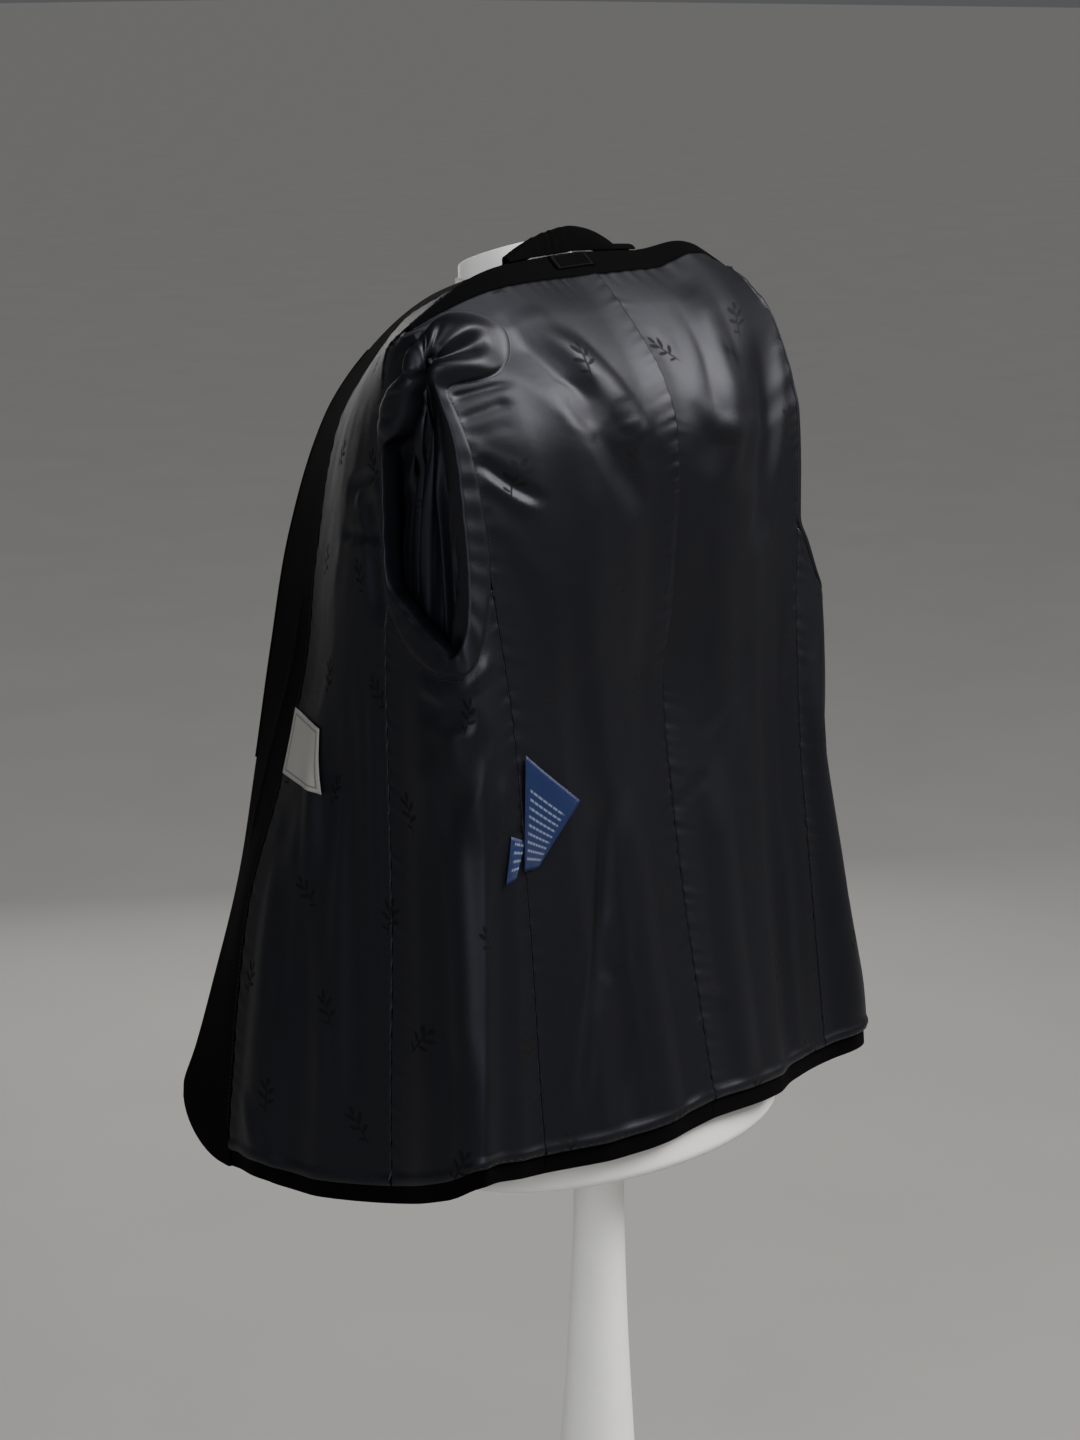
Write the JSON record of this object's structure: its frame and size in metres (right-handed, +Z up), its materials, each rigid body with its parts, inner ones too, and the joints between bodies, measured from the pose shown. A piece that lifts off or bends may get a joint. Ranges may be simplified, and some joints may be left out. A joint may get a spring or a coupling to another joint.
{
  "type": "blazer on a dress form",
  "caption": "Single-breasted tailored blazer turned inside out, satin lining outward, open at the front, on a limbless display form with a turned column and round base.",
  "frame": {"origin": "centre of the base's underside, on the floor, on the column's axis", "axes": "+Z up; the form faces -Y and its left is +X"},
  "size_m": [0.4926, 0.4703, 1.5623],
  "materials": {
    "horn_button": "dark polished",
    "blue_label": "blue printed satin tape",
    "wool": "black fine wool, matte",
    "form_paint": "white satin paint",
    "cream_label": "cream woven tape",
    "satin_lining": "black satin weave, glossy",
    "dark_label": "black woven tape"
  },
  "bodies": {
    "root": {"button_lower": "horn_button", "button_upper": "horn_button", "care_label": "blue_label", "collar_leaf": "wool", "collar_stand": "wool", "facing_left": "wool", "facing_right": "wool", "form_base": "form_paint", "form_column": "form_paint", "form_neck_cap": "form_paint", "form_torso": "form_paint", "inside_label": "cream_label", "lapel_left": "wool", "lapel_right": "wool", "lining_back_left": "satin_lining", "lining_back_right": "satin_lining", "lining_front_left": "satin_lining", "lining_front_right": "satin_lining", "lining_side_left": "satin_lining", "lining_side_right": "satin_lining", "neck_facing": "wool", "neck_label": "dark_label", "shell_back_left": "wool", "shell_back_right": "wool", "shell_front_left": "wool", "shell_front_right": "wool", "shell_side_left": "wool", "shell_side_right": "wool", "sleeve_left": "wool", "sleeve_lining_left": "satin_lining", "sleeve_lining_right": "satin_lining", "sleeve_right": "wool"}
  },
  "joints": []
}
